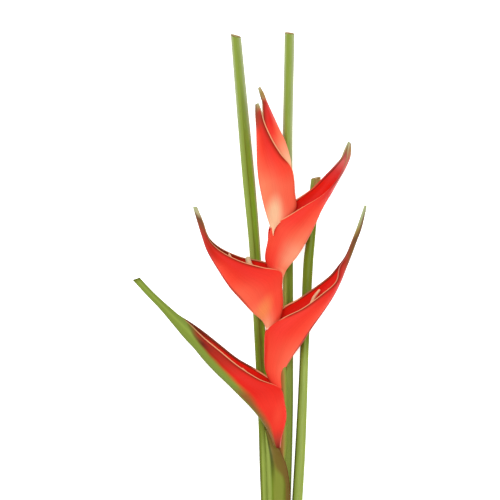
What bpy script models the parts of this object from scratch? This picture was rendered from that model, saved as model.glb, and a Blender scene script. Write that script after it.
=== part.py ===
"""Cut stem of red heliconia, lying down with its three leaf stalks under it.

Frame: metres, +Z up, the floor at z = 0. The stem runs along +Y, from its cut lower end to the
cut tops of the leaf stalks, and its bracts fan out to both sides in a plane above the stalks.
The origin is at the middle of the object's footprint. Every size and place in the tables below
is in millimetres: x from the line of the stem, y from the cut lower end, z from the floor.
"""
import math

import bmesh
import bpy
from mathutils import Vector

MM = 0.001
FOOTPRINT_MIDDLE = Vector((-29.0, 287.0, 0.0))

FLOWER_PLANE = 26.0

BRACT_WALL = 1.2
BRACT_TIP_WALL = 0.8
KEEL_WALL_RATIO = 1.3
KEEL_WALL_SHARE = 0.3
KEEL_SHARPNESS = 1.5
MARGIN_SHARPNESS = 0.75
ROWS_PER_STATION = 2
WALL_COLUMNS = 8

STALK_HEIGHT = 11.8
STALK_SIDES = 24
STALK_ROWS_PER_STATION = 2
STALK_FLAT = 0.5
CHANNEL_START = -8.0
CHANNEL_END = 96.0
CHANNEL_DEPTH = 1.1
CHANNEL_FLATNESS = 0.75

SHEATH_WALL = 1.3
STEM_SIDES = 16
FLORET_SIDES = 12

# A bract is a leaf folded along its keel. Each station is one line across it, from the base
# ring that clasps the stem to the tip: keel (x, y), near margin (x, y), far margin (x, y),
# height of its middle over the flower's plane, half of its depth, and how far the near and the
# far wall stand open at the margin, in degrees: 0 where the margins meet, 90 where the walls
# stand parallel.
BRACT_1 = (
    ((-2.5, 113.5), (5, 115.5), (10, 118.5), -7.5, 5.8, 75, 14),
    ((-5.5, 126), (6.4, 127.5), (11.6, 132.5), -5.5, 6.8, 45, 8),
    ((-12.5, 140), (11.5, 148.5), (11.5, 148.5), -2.5, 8.5, 3, 2),
    ((-25.5, 157), (9.5, 166.5), (9.5, 166.5), -0.5, 10, 2, 1),
    ((-39.5, 171.5), (4, 182), (4, 183.5), 0, 11, 24, 32),
    ((-53, 185), (-18.5, 191.5), (-20, 201), 0, 11, 50, 45),
    ((-66, 197.5), (-41, 205.8), (-43, 212.5), 0, 9.5, 56, 50),
    ((-78, 210), (-62, 223), (-63.5, 228), 0, 8, 58, 52),
    ((-90, 224.5), (-80, 237.8), (-81, 243), 0, 6.5, 58, 52),
    ((-102, 237.5), (-94.5, 252), (-94, 253.8), 0, 5, 50, 50),
    ((-114.5, 252.5), (-107.5, 262.5), (-107.5, 262.5), 0, 4, 45, 45),
    ((-127.5, 268), (-121.5, 274.5), (-121.5, 274.5), 0, 3.4, 45, 45),
    ((-141, 282), (-136, 288), (-136, 288), 0, 3, 45, 45),
    ((-158, 300.5), (-150, 303), (-150, 303), 0, 2.6, 45, 45),
)
BRACT_2 = (
    ((7, 180.5), (-5.5, 184.5), (-5.5, 184.5), 0, 5.2, 1, 1),
    ((7.8, 197), (-12, 201.5), (-12, 201.5), 0, 7, 1, 1),
    ((16, 212.5), (-13, 221), (-13, 221), 0, 9.5, 1, 1),
    ((29.5, 231.5), (-10.5, 244), (-10.5, 248.5), 0, 11.5, 24, 32),
    ((40.5, 248.5), (7.5, 258.5), (5.5, 268.5), 0, 12, 48, 42),
    ((53, 266), (29.5, 269.5), (24, 279.5), 0, 11.5, 58, 50),
    ((64, 283), (50.5, 285), (43, 292.5), 0, 9.5, 62, 54),
    ((72, 299), (65.5, 298.5), (58.5, 304.5), 0, 7, 64, 56),
    ((77.5, 313), (69.5, 314.5), (67.5, 315), 0, 5, 56, 56),
    ((83, 326.5), (77, 327), (76.5, 327.5), 0, 3.5, 50, 50),
    ((88.5, 342), (83.8, 343), (83.8, 343), 0, 2.6, 48, 48),
    ((94.5, 358.5), (90.3, 359), (90.3, 359), 0, 2, 48, 48),
    ((100, 381), (97, 382.5), (97, 382.5), 0, 1.4, 48, 48),
)
BRACT_3 = (
    ((-10.5, 245.5), (3.5, 250), (3.5, 250), 0, 5, 1, 1),
    ((-15, 255), (7.8, 272), (7.8, 272), 0, 7, 1, 1),
    ((-26.5, 265), (7.1, 292), (7.1, 292), 0, 9.5, 2, 2),
    ((-39.5, 279), (4.8, 308.7), (3.6, 312.5), 0, 11.5, 26, 38),
    ((-51.5, 292.5), (-15.5, 314.5), (-14.5, 321), 0, 12, 50, 44),
    ((-65, 313), (-38.5, 321), (-37.5, 325.5), 0, 11, 58, 52),
    ((-76, 332), (-59.5, 331.5), (-59.5, 335), 0, 8.5, 60, 56),
    ((-82.5, 350.5), (-73.5, 344), (-74, 346.5), 0, 5.5, 56, 56),
    ((-87.5, 367.5), (-81.4, 364), (-81.4, 364.5), 0, 3, 50, 50),
    ((-92, 380.2), (-87, 382), (-87, 382), 0, 1.4, 48, 48),
)
BRACT_4 = (
    ((6.5, 297), (-4.5, 309), (-4.5, 309), 0, 4.8, 1, 1),
    ((11.4, 311), (-12, 325.5), (-12, 325.5), 0, 6.8, 1, 1),
    ((23, 325.5), (-8, 344.5), (-9.3, 343), 0, 9.5, 6, 2),
    ((32.3, 340), (0.4, 360.5), (-7.3, 359), 0, 11, 42, 10),
    ((42, 358.5), (12, 370), (3.5, 374), 0, 11.5, 50, 44),
    ((51.5, 379), (27.5, 379.5), (21, 388), 0, 11, 56, 50),
    ((61, 395), (50.5, 393.5), (39.5, 401), 0, 9.5, 62, 54),
    ((69.5, 410), (65.3, 408.5), (54.5, 416), 0, 7.5, 66, 54),
    ((76, 421.5), (73.2, 422.2), (65, 427), 0, 5.5, 64, 54),
    ((80.5, 433), (78, 434.5), (72, 435), 0, 4, 60, 52),
    ((82, 442), (80, 444.5), (78, 444), 0, 2.4, 52, 50),
    ((82, 450.5), (80, 452), (80, 452), 0, 1.3, 48, 48),
)
BRACT_5 = (
    ((-2.8, 351.5), (7.5, 363), (7.5, 363), 0, 4.4, 1, 1),
    ((-9.4, 367.5), (20.5, 378.5), (20.5, 378.5), 0, 6.6, 1, 1),
    ((-14.5, 386), (21, 397), (21, 397), 0, 9, 1, 1),
    ((-19, 408), (18, 422.5), (17.5, 421.5), 0, 10, 22, 18),
    ((-21, 427), (5.5, 439.5), (4.5, 438), 0, 9.5, 50, 44),
    ((-21.5, 445.5), (-4, 455), (-5, 453), 0, 8, 58, 52),
    ((-22, 465.5), (-12, 472.5), (-12.5, 471.5), 0, 5.5, 58, 54),
    ((-23, 482), (-16, 487), (-16.5, 486), 0, 3.2, 52, 52),
    ((-23, 493.5), (-19.5, 495.5), (-19.5, 495.5), 0, 1.5, 48, 48),
)
BRACT_6 = (
    ((14.5, 392.5), (2, 396), (2, 396), 0, 3.8, 1, 1),
    ((16.5, 410.5), (-5.5, 414.5), (-5.5, 414.5), 0, 4.8, 2, 2),
    ((17, 428.5), (-10, 432.5), (-10, 432.5), 0, 5.4, 8, 8),
    ((11, 451), (-12, 452), (-12, 452), 0, 5.2, 25, 25),
    ((3.5, 467.5), (-14, 468.5), (-14, 468.5), 0, 4.8, 35, 35),
    ((-4, 484), (-15, 486), (-15, 486), 0, 3.6, 42, 42),
    ((-9.5, 496.5), (-15.5, 496), (-15.5, 496), 0, 2.8, 45, 45),
    ((-14, 505), (-17.5, 504), (-17.5, 504), 0, 2, 48, 48),
    ((-17.5, 513.5), (-20, 511.5), (-20, 511.5), 0, 1.3, 48, 48),
)
BRACTS = (BRACT_1, BRACT_2, BRACT_3, BRACT_4, BRACT_5, BRACT_6)

# A leaf stalk's station: y of its left edge, left edge x, y of its right edge, right edge x.
LEFT_STALK = (
    (0, -15, 0, -2), (60, -16.5, 60, -3.5), (102, -17.5, 102, -4.5), (150, -19.5, 150, -6.5),
    (234, -23, 234, -11), (333, -28.5, 333, -17), (410, -36, 410, -23), (498, -44, 498, -31.5),
    (572, -50, 569, -38.5),
)
MIDDLE_STALK = (
    (0, 5.2, 0, 15.5), (60, 5.2, 60, 16.5), (113, 5.5, 113, 18), (168, 6, 168, 19),
    (234, 7, 234, 19), (300, 7.5, 300, 19), (388, 7, 388, 18.5), (465, 7.5, 465, 18.5),
    (542, 9, 542, 20), (574, 9.5, 572.5, 20.5),
)
RIGHT_STALK = (
    (0, 16, 0, 26.5), (25, 16.4, 25, 27.5), (60, 18, 60, 29.5), (113, 21, 113, 32.5),
    (168, 24, 168, 34.5), (223, 26.5, 223, 36), (311, 30, 311, 39.5), (344, 33.5, 344, 42),
    (390, 36.4, 386, 46.4), (412.5, 38.7, 414.5, 49.5),
)

# The left stalk's sheath wraps over the flower stem. Each station is y, then the middle line of
# the sheath as (x, z) points from inside the stalk to its free edge.
SHEATH = (
    (0, (-10, 8), (-6.5, 12.2), (-2.8, 14.4), (1.5, 15.9), (7, 14.6), (12, 13.1), (16.2, 9.8)),
    (60, (-10.5, 8), (-7, 12.3), (-3, 15.6), (2, 17.7), (7.2, 16), (11.5, 13.6), (15.8, 11.2)),
    (78, (-11, 8), (-7.8, 12.3), (-3.5, 16.6), (2.5, 19.6), (7.5, 18), (11, 15.4), (14.3, 12.8)),
    (95, (-11.5, 8), (-8.5, 12.3), (-4, 17.5), (1, 21), (5, 21.4), (8.5, 20.2), (11.5, 18.2)),
    (106, (-11.8, 8), (-9, 12.5), (-5, 18), (-1.5, 22), (2, 23.6), (5, 23.8), (7.5, 23)),
    (113, (-12, 8), (-9.5, 12.5), (-6.2, 18), (-3.6, 22), (-1, 24.2), (2, 25.2), (4.5, 25.5)),
    (120, (-12.3, 8), (-10, 12.5), (-7.8, 16.6), (-6, 19.6), (-4.6, 21.8), (-3.4, 23.4), (-2.2, 24.6)),
    (127, (-12.6, 8), (-10.9, 12.2), (-9.9, 14.6), (-9.2, 16.3), (-8.7, 17.7), (-8.2, 19), (-7.7, 20.2)),
    (133, (-12.8, 8), (-11.9, 11.4), (-11.5, 12.6), (-11.2, 13.4), (-11, 14), (-10.8, 14.7), (-10.6, 15.3)),
)

# Flower stem: x, y and height over the flower's plane of its middle line, and its radius, from the
# cut end up through the bracts.
FLOWER_STEM = (
    (1.6, 0, -15.4, 4.1), (2, 60, -14, 4), (5.2, 113, -8, 3.7), (4.6, 135, -4.2, 3.7),
    (1, 163, -0.7, 3.7), (-0.6, 186, 0, 3.6), (-1, 222, 0, 3.5), (-4.5, 250, 0, 3.4),
    (-2, 278, 0, 3.3), (0.6, 303, 0, 3.2), (-1, 333, 0, 3), (2.2, 354.5, 0, 2.8),
    (5, 377, 0, 2.5), (8, 394.2, 0, 2.3), (7, 414, 0, 1.8), (3, 430, 0, 1.2),
)

# Florets: the same, from beside the flower stem to the tip that shows between a bract's margins.
FLORETS = (
    ((-6, 174.2, 0, 2.4), (-20, 186, 0, 2.6), (-31, 196, 0, 2.2), (-37, 202.5, 0, 1.2)),
    ((3, 231.5, 0, 2.4), (20, 250, -1, 2.6), (36.5, 270.5, -1, 2), (42, 281.5, 0, 1.7), (47.6, 289, 1, 1.3)),
    ((-7.6, 279, 0, 2.2), (-18, 299, 0, 2.6), (-26.5, 317, 1, 2.6), (-29, 326.3, 2, 1.7)),
    ((-8.4, 268, 0, 2), (-31, 292, -1, 2.4), (-46, 317, -1, 2), (-51.5, 328.5, 0, 1.1)),
)

RED = (0.87, 0.065, 0.035)
GREEN = (0.30, 0.37, 0.06)
OLIVE = (0.36, 0.33, 0.08)
CREAM = (0.80, 0.62, 0.30)


def clear_scene():
    for thing in list(bpy.data.objects):
        bpy.data.objects.remove(thing, do_unlink=True)


def make_material(name, colour, roughness):
    """A plain surface finish."""
    material = bpy.data.materials.new(name)
    material.use_nodes = True
    shader = material.node_tree.nodes["Principled BSDF"]
    shader.inputs["Base Color"].default_value = (*colour, 1.0)
    shader.inputs["Roughness"].default_value = roughness
    shader.inputs["Metallic"].default_value = 0.0
    return material


def smooth_through(stations, rows_between, straight=0):
    """Rows of numbers on a smooth curve through the stations, stations included. The last few
    numbers of a row, as many as straight says, run straight from station to station."""
    rows = []
    curved = len(stations[0]) - straight
    last = len(stations) - 1
    for i in range(last):
        before, start = stations[max(i - 1, 0)], stations[i]
        end, after = stations[i + 1], stations[min(i + 2, last)]
        for step in range(rows_between):
            t = step / rows_between
            row = [
                b + 0.5 * t * (c - a + t * (2 * a - 5 * b + 4 * c - d + t * (3 * (b - c) + d - a)))
                for a, b, c, d in zip(before[:curved], start, end, after)
            ]
            row += [b + t * (c - b) for b, c in zip(start[curved:], end[curved:])]
            rows.append(row)
    rows.append(list(stations[last]))
    return rows


def loft(name, rows, material, strip_caps=False):
    """A closed solid skinned over rows of points, each row a loop. Its ends are filled flat, or
    with strip_caps by joining the first half of the loop to the second, as on a folded wall."""
    shape = bmesh.new()
    column = shape.verts.layers.int.new("column")
    count = len(rows[0])
    loop = []
    for i, point in enumerate(rows[0]):
        loop.append(shape.verts.new(point))
        loop[i][column] = i
    first = [shape.edges.new((loop[i], loop[(i + 1) % count])) for i in range(count)]
    edges = first
    for row in rows[1:]:
        grown = bmesh.ops.extrude_edge_only(shape, edges=edges)["geom"]
        fresh = {v for v in grown if isinstance(v, bmesh.types.BMVert)}
        edges = [e for e in grown if isinstance(e, bmesh.types.BMEdge) and fresh.issuperset(e.verts)]
        for vertex in fresh:
            vertex.co = row[vertex[column]]
    for end in (first, edges):
        if strip_caps:
            sides = {count // 2 - 1, count - 1}
            chains = [e for e in end if min_column(e, column, count) not in sides]
            bmesh.ops.bridge_loops(shape, edges=chains)
        else:
            bmesh.ops.contextual_create(shape, geom=end)
    bmesh.ops.recalc_face_normals(shape, faces=shape.faces)
    bmesh.ops.scale(shape, vec=(MM, MM, MM), verts=shape.verts)
    bmesh.ops.translate(shape, vec=-FOOTPRINT_MIDDLE * MM, verts=shape.verts)
    mesh = bpy.data.meshes.new(name)
    shape.to_mesh(mesh)
    shape.free()
    mesh.shade_smooth()
    mesh.set_sharp_from_angle(angle=math.radians(50))
    mesh.materials.append(material)
    piece = bpy.data.objects.new(name, mesh)
    bpy.context.scene.collection.objects.link(piece)
    return piece


def min_column(edge, column, count):
    """The column that an edge of the loop starts from, counted round the loop."""
    a, b = sorted(v[column] for v in edge.verts)
    return b if b - a == count - 1 else a


def wall_points(keel, margin, keel_shift, z, depth, gape, side):
    """One wall of a bract in section, from its margin to its keel, the keel point included."""
    start = math.radians(gape)
    keel = keel + keel_shift
    points = []
    for i in range(WALL_COLUMNS + 1):
        turn = start + (math.pi - start) * i / WALL_COLUMNS
        across = (math.cos(start) - math.cos(turn)) / (math.cos(start) + 1.0)
        sharpness = KEEL_SHARPNESS if turn > math.pi / 2 else MARGIN_SHARPNESS
        height = math.copysign(abs(math.sin(turn)) ** sharpness, math.sin(turn)) * depth
        points.append((*margin.lerp(keel, across), z + side * height))
    return points


def bract_section(station, along):
    """The loop round a bract's folded wall: its outside from the near margin by the keel to
    the far margin, and back along its inside."""
    keel, near, far = (Vector(station[i:i + 2]) for i in (0, 2, 4))
    lift, depth, near_gape, far_gape = station[6:]
    z = FLOWER_PLANE + lift
    wall = min(BRACT_WALL + (BRACT_TIP_WALL - BRACT_WALL) * along, depth / 2)
    across = keel - (near + far) / 2
    inward = -across.normalized() * min(wall * KEEL_WALL_RATIO, across.length * KEEL_WALL_SHARE)
    loops = []
    for thickness, shift in ((0.0, Vector((0, 0))), (wall, inward)):
        halves = []
        for margin, gape, side in ((near, near_gape, 1), (far, far_gape, -1)):
            step = (keel - margin).normalized() * thickness * math.cos(math.radians(gape))
            halves.append(wall_points(keel, margin + step, shift, z, depth - thickness, gape, side))
        loops.append(halves[0] + halves[1][-2::-1])
    return loops[0] + loops[1][::-1]


def make_bract(name, stations, material):
    flat = [(*s[0], *s[1], *s[2], *s[3:]) for s in stations]
    rows = smooth_through(flat, ROWS_PER_STATION, straight=2)
    last = len(rows) - 1
    sections = [bract_section(row, i / last) for i, row in enumerate(rows)]
    return loft(name, sections, material, strip_caps=True)


def stalk_section(station):
    """The loop round a leaf stalk: round, flattened where it lies on the floor, with a shallow
    channel along its upper right side."""
    left_y, left_x, right_y, right_x = station
    middle = Vector(((left_x + right_x) / 2, (left_y + right_y) / 2))
    half = Vector((right_x - left_x, right_y - left_y)) / 2
    channel_ends = []
    for angle in (CHANNEL_START, CHANNEL_END):
        turn = math.radians(angle)
        channel_ends.append(Vector((math.cos(turn), math.sin(turn))))
    points = []
    for i in range(STALK_SIDES):
        angle = CHANNEL_END + 360.0 * i / STALK_SIDES
        turn = math.radians(angle)
        place = Vector((math.cos(turn), math.sin(turn)))
        beyond = (angle - 360.0 - CHANNEL_START) / (CHANNEL_END - CHANNEL_START)
        if beyond > 0:
            sag = CHANNEL_DEPTH / (STALK_HEIGHT / 2) * math.sin(math.pi * beyond)
            chord = channel_ends[0].lerp(channel_ends[1], beyond)
            place = place.lerp(chord, CHANNEL_FLATNESS) - chord.normalized() * sag
        on_plan = middle + half * place.x
        height = (STALK_HEIGHT + STALK_FLAT) / 2 * (1 + place.y) - STALK_FLAT
        points.append((*on_plan, max(height, 0.0)))
    return points


def make_stalk(name, stations, material):
    rows = smooth_through(stations, STALK_ROWS_PER_STATION)
    return loft(name, [stalk_section(row) for row in rows], material)


def sheath_section(station):
    """The loop round the sheath's wall: its upper side out to the free edge, and back below."""
    y = station[0]
    line = [Vector(station[i:i + 2]) for i in range(1, len(station), 2)]
    upper, lower = [], []
    for i, point in enumerate(line):
        along = (line[min(i + 1, len(line) - 1)] - line[max(i - 1, 0)]).normalized()
        across = Vector((-along.y, along.x)) * SHEATH_WALL / 2
        upper.append((point.x + across.x, y, point.y + across.y))
        lower.append((point.x - across.x, y, point.y - across.y))
    return upper + lower[::-1]


def make_left_stalk(name, material):
    """The left stalk with its sheath grown on to it."""
    stalk = make_stalk(name, LEFT_STALK, material)
    flat = [(s[0], *(value for point in s[1:] for value in point)) for s in SHEATH]
    rows = smooth_through(flat, 2)
    sheath = loft("sheath", [sheath_section(row) for row in rows], material, strip_caps=True)
    join = stalk.modifiers.new("grown together", "BOOLEAN")
    join.operation = "UNION"
    join.solver = "EXACT"
    join.object = sheath
    bpy.context.view_layer.update()
    grown = bpy.data.meshes.new_from_object(stalk.evaluated_get(bpy.context.evaluated_depsgraph_get()))
    stalk.modifiers.clear()
    stalk.data = grown
    bpy.data.objects.remove(sheath, do_unlink=True)
    return stalk


def make_round(name, stations, sides, rows_between, material, level_ends=False):
    """A round stem along its middle line, its radius from the stations."""
    rows = smooth_through(stations, rows_between)
    centres = [Vector((row[0], row[1], FLOWER_PLANE + row[2])) for row in rows]
    sections = []
    for i, row in enumerate(rows):
        along = (centres[min(i + 1, len(rows) - 1)] - centres[max(i - 1, 0)]).normalized()
        if level_ends and i == 0:
            along = Vector((0, 1, 0))
        side = along.cross(Vector((0, 0, 1))).normalized()
        up = side.cross(along)
        turns = [math.tau * k / sides for k in range(sides)]
        sections.append([
            centres[i] + (side * math.cos(turn) + up * math.sin(turn)) * row[3] for turn in turns
        ])
    return loft(name, sections, material)


clear_scene()
red = make_material("bract red", RED, 0.45)
green = make_material("stalk green", GREEN, 0.45)
olive = make_material("flower stem olive", OLIVE, 0.5)
cream = make_material("floret cream", CREAM, 0.5)
for number, outline in enumerate(BRACTS, start=1):
    make_bract(f"bract_{number}", outline, red)
make_round("flower_stem", FLOWER_STEM, STEM_SIDES, 2, olive, level_ends=True)
for number, line in enumerate(FLORETS, start=1):
    make_round(f"floret_{number}", line, FLORET_SIDES, 3, cream)
make_left_stalk("left_stalk", green)
make_stalk("middle_stalk", MIDDLE_STALK, green)
make_stalk("right_stalk", RIGHT_STALK, green)
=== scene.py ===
"""Looks of the cut red heliconia: fine bracts, stalks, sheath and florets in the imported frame.

Sizes and places in the tables are in millimetres: x from the line of the stem, y from the cut
lower end, z from the floor. The stem lies along +Y and the camera looks straight down on it.
"""
import math
from typing import NamedTuple

import bmesh
import bpy
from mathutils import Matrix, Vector


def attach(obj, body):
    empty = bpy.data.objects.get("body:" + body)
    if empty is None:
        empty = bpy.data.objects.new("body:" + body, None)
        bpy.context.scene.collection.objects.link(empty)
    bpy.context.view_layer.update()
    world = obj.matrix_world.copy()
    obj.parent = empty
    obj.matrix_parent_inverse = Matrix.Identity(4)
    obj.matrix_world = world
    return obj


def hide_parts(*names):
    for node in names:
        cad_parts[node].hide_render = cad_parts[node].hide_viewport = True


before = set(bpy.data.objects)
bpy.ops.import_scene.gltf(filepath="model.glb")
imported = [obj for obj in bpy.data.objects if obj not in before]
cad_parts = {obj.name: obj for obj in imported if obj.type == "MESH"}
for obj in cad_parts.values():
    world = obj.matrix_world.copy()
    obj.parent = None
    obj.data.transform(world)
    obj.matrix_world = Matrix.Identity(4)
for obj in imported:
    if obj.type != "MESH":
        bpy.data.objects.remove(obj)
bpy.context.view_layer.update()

MM = 0.001

# The frame's origin is on the floor at the middle of the footprint. The bracts and the florets
# lie about the flower's plane.
FOOTPRINT_MIDDLE = Vector((-29.0, 287.0, 0.0))
FLOWER_PLANE = 26.0

# A bract's wall, and how much thicker it is at the keel, up to a share of the bract's width.
BRACT_WALL = 1.2
BRACT_TIP_WALL = 0.8
KEEL_WALL_RATIO = 1.3
KEEL_WALL_SHARE = 0.3

# How sharply its section closes towards the keel and the margins, where 1 is round.
KEEL_SHARPNESS = 1.5
MARGIN_SHARPNESS = 0.75
BRACT_ROWS = 10
WALL_COLUMNS = 28
RIM_COLUMNS = 4

# A stalk would be taller by STALK_FLAT if the floor didn't flatten it. Its channel lies between
# two angles, in degrees, and is level where CHANNEL_FLATNESS is 1 and round where it is 0.
STALK_HEIGHT = 11.8
STALK_FLAT = 0.5
STALK_SIDES = 144
STALK_ROWS = 8
CHANNEL_START = -8.0
CHANNEL_END = 96.0
CHANNEL_DEPTH = 1.1
CHANNEL_FLATNESS = 0.75
RIB_COUNT = 24
RIB_HEIGHT = 0.05

# A cut face has a rind round the sunken pith, and a stalk's top cut slants.
CUT_RIND = 0.7
CUT_RECESS = 0.3
CUT_SLANT = 2.2

# Edges that turn by more than this many degrees stay sharp.
SHARP_ANGLE = 50.0
MOST_VERTICES = 1000000

SHEATH_WALL = 1.3
SHEATH_ROWS = 8
SHEATH_COLUMNS = 5
STEM_SIDES = 48
STEM_ROWS = 6
FLORET_SIDES = 24
FLORET_ROWS = 8
DOME_TURNS = (25.0, 50.0, 75.0)

# A bract is a leaf folded along its keel. Each station is one line across it, from the base
# ring that clasps the stem to the tip: keel (x, y), near margin (x, y), far margin (x, y),
# height of its middle over the flower's plane, half of its depth, and how far the near and the
# far wall stand open at the margin, in degrees.
BRACT_1 = (
    ((-2.5, 113.5), (5, 115.5), (10, 118.5), -7.5, 5.8, 75, 14),
    ((-5.5, 126), (6.4, 127.5), (11.6, 132.5), -5.5, 6.8, 45, 8),
    ((-12.5, 140), (11.5, 148.5), (11.5, 148.5), -2.5, 8.5, 3, 2),
    ((-25.5, 157), (9.5, 166.5), (9.5, 166.5), -0.5, 10, 2, 1),
    ((-39.5, 171.5), (4, 182), (4, 183.5), 0, 11, 24, 32),
    ((-53, 185), (-18.5, 191.5), (-20, 201), 0, 11, 50, 45),
    ((-66, 197.5), (-41, 205.8), (-42.2, 214), 0, 9.5, 56, 50),
    ((-78, 210), (-62, 223), (-62.5, 230), 0, 8, 58, 52),
    ((-90, 224.5), (-80, 237.8), (-80.4, 244.2), 0, 6.5, 58, 52),
    ((-102, 237.5), (-94.5, 252), (-94, 253.8), 0, 5, 50, 50),
    ((-114.5, 252.5), (-107.5, 262.5), (-107.5, 262.5), 0, 4, 45, 45),
    ((-127.5, 268), (-121.5, 274.5), (-121.5, 274.5), 0, 3.4, 45, 45),
    ((-141, 282), (-136, 288), (-136, 288), 0, 3, 45, 45),
    ((-158, 300.5), (-150, 303), (-150, 303), 0, 2.6, 45, 45),
)
BRACT_2 = (
    ((7, 180.5), (-5.5, 184.5), (-5.5, 184.5), 0, 5.2, 1, 1),
    ((7.8, 197), (-12, 201.5), (-12, 201.5), 0, 7, 1, 1),
    ((16, 212.5), (-13, 221), (-13, 221), 0, 9.5, 1, 1),
    ((29.5, 231.5), (-10.5, 244), (-10.5, 248.5), 0, 11.5, 24, 32),
    ((40.5, 248.5), (7.5, 258.5), (5.5, 268.5), 0, 12, 48, 42),
    ((53, 266), (29.5, 269.5), (24, 279.5), 0, 11.5, 58, 50),
    ((64, 283), (50.5, 285), (43, 292.5), 0, 9.5, 62, 54),
    ((72, 299), (65.5, 298.5), (58.5, 304.5), 0, 7, 64, 56),
    ((77.5, 313), (69.5, 314.5), (67.5, 315), 0, 5, 56, 56),
    ((83, 326.5), (77, 327), (76.5, 327.5), 0, 3.5, 50, 50),
    ((88.7, 342), (83, 343), (83, 343), 0, 2.6, 48, 48),
    ((94.7, 358.5), (89.2, 359.3), (89.2, 359.3), 0, 2, 48, 48),
    ((100, 381.5), (97.4, 383), (97.4, 383), 0, 1.2, 48, 48),
)
BRACT_3 = (
    ((-10.5, 245.5), (3.5, 250), (3.5, 250), 0, 5, 1, 1),
    ((-15, 255), (7.8, 272), (7.8, 272), 0, 7, 1, 1),
    ((-26.5, 265), (7.1, 292), (7.1, 292), 0, 9.5, 2, 2),
    ((-39.5, 279), (5.8, 309.3), (4.4, 313), 0, 11.5, 26, 38),
    ((-51.5, 292.5), (-15.5, 314.5), (-14.5, 321), 0, 12, 50, 44),
    ((-65, 313), (-38.5, 321), (-37.5, 325.5), 0, 11, 58, 52),
    ((-76, 332), (-59.5, 331.5), (-59.5, 335), 0, 8.5, 60, 56),
    ((-82.5, 350.5), (-73, 344.4), (-73.4, 347), 0, 5.5, 56, 56),
    ((-87.7, 367.5), (-80.2, 364.6), (-80.2, 365.1), 0, 3, 50, 50),
    ((-91.6, 381), (-86.8, 381), (-86.8, 381), 0, 1.4, 48, 48),
)
BRACT_4 = (
    ((6.5, 297), (-6, 307.5), (-6, 307.5), 0, 4.8, 1, 1),
    ((11.4, 311), (-12.2, 323.8), (-12.2, 323.8), 0, 6.8, 1, 1),
    ((23, 325.5), (-9, 343.8), (-9.4, 343), 0, 9.5, 4, 2),
    ((32.3, 340), (-4, 360), (-7.3, 359), 0, 11, 26, 10),
    ((42, 358.5), (12, 370), (3.5, 374), 0, 11.5, 50, 44),
    ((51.5, 379), (27.5, 379.5), (21, 388), 0, 11, 56, 50),
    ((61, 395), (50.5, 393.5), (39.5, 401), 0, 9.5, 62, 54),
    ((69.5, 410), (65.3, 408.5), (54.5, 416), 0, 7.5, 66, 54),
    ((76, 421.5), (73.2, 422.2), (65, 427), 0, 5.5, 64, 54),
    ((81.2, 433), (77.6, 434.5), (71.6, 435), 0, 4, 60, 52),
    ((82.9, 442), (79, 444.5), (75, 443.5), 0, 2.4, 52, 50),
    ((82.6, 450.5), (80, 453), (79.4, 453), 0, 1.2, 48, 48),
)
BRACT_5 = (
    ((-3, 348.5), (-0.8, 361.5), (-0.8, 361.5), 8, 4.4, 1, 1),
    ((-9.4, 367.5), (21, 376.2), (21, 376.2), 0, 6.6, 1, 1),
    ((-14.5, 386), (21, 397), (21, 397), 0, 9, 1, 1),
    ((-19, 408), (18, 422.5), (17.5, 421.5), 0, 10, 22, 18),
    ((-21, 427), (5.5, 439.5), (4.5, 438), 0, 9.5, 50, 44),
    ((-21.5, 445.5), (-4, 455), (-5, 453), 0, 8, 58, 52),
    ((-22, 465.5), (-12, 472.5), (-12.5, 471.5), 0, 5.5, 58, 54),
    ((-23, 482), (-16, 487), (-16.5, 486), 0, 3.2, 52, 52),
    ((-23, 493.5), (-19.5, 495.5), (-19.5, 495.5), 0, 1.5, 48, 48),
)
BRACT_6 = (
    ((14.5, 392.5), (2, 396), (2, 396), 0, 3.8, 1, 1),
    ((16.5, 410.5), (-5.5, 414.5), (-5.5, 414.5), 0, 4.8, 2, 2),
    ((17, 428.5), (-10, 432.5), (-10, 432.5), 0, 5.4, 8, 8),
    ((11, 451), (-12, 452), (-12, 452), 0, 5.2, 25, 25),
    ((3.5, 467.5), (-14, 468.5), (-14, 468.5), 0, 4.8, 35, 35),
    ((-4, 484), (-15, 486), (-15, 486), 0, 3.6, 42, 42),
    ((-9.5, 496.5), (-15.5, 496), (-15.5, 496), 0, 2.8, 45, 45),
    ((-13, 505.5), (-17.8, 504), (-17.8, 504), 0, 2, 48, 48),
    ((-17.5, 513.5), (-20, 511.5), (-20, 511.5), 0, 1.3, 48, 48),
)

# A leaf stalk's station: y of its left edge, left edge x, y of its right edge, right edge x.
LEFT_STALK = (
    (0, -15, 0, -2), (60, -16.8, 60, -3.5), (102, -18.3, 102, -4.5), (150, -19.7, 150, -6.5),
    (234, -23.8, 234, -11), (333, -29.4, 333, -17), (410, -36.8, 410, -23),
    (498, -44.2, 498, -31.5), (572, -50, 569, -38.5),
)
MIDDLE_STALK = (
    (0, 5.2, 0, 15.5), (60, 5.2, 60, 16.5), (113, 5.5, 113, 18), (168, 6, 168, 19),
    (234, 7, 234, 19), (300, 7.5, 300, 19), (388, 7, 388, 18.5), (465, 7.5, 465, 18.5),
    (542, 9, 542, 20), (574, 9.5, 572.5, 20.5),
)
RIGHT_STALK = (
    (0, 16, 0, 26.5), (25, 16.4, 25, 27.5), (60, 18, 60, 29.5), (113, 21, 113, 32.5),
    (168, 24, 168, 34.5), (223, 26.5, 223, 36.2), (311, 29.6, 311, 40.6), (344, 33, 344, 43.2),
    (390, 36.4, 386, 46.8), (412.5, 38.7, 414.5, 49.5),
)

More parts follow.
